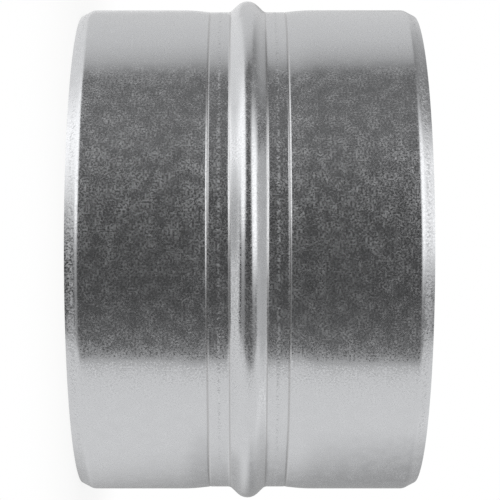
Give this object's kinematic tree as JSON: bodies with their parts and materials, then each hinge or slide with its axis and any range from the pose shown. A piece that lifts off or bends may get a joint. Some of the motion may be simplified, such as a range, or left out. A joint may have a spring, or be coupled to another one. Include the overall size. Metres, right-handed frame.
{
  "type": "duct connector",
  "caption": "Open round sheet-steel sleeve with a raised stop bead round its middle and drawn-in rims, joining air ducts that are pushed over its ends.",
  "frame": {"origin": "centre of the lower rim, on the surface that the sleeve stands on", "axes": "+Z along the axis of the sleeve; the lapped seam is on the +Y side"},
  "size_m": [0.1286, 0.1286, 0.085],
  "materials": {
    "galvanised_steel": "hot-dip galvanised sheet with minimised spangle, as rolled"
  },
  "bodies": {
    "root": {"connector_wall": "galvanised_steel"}
  },
  "joints": []
}
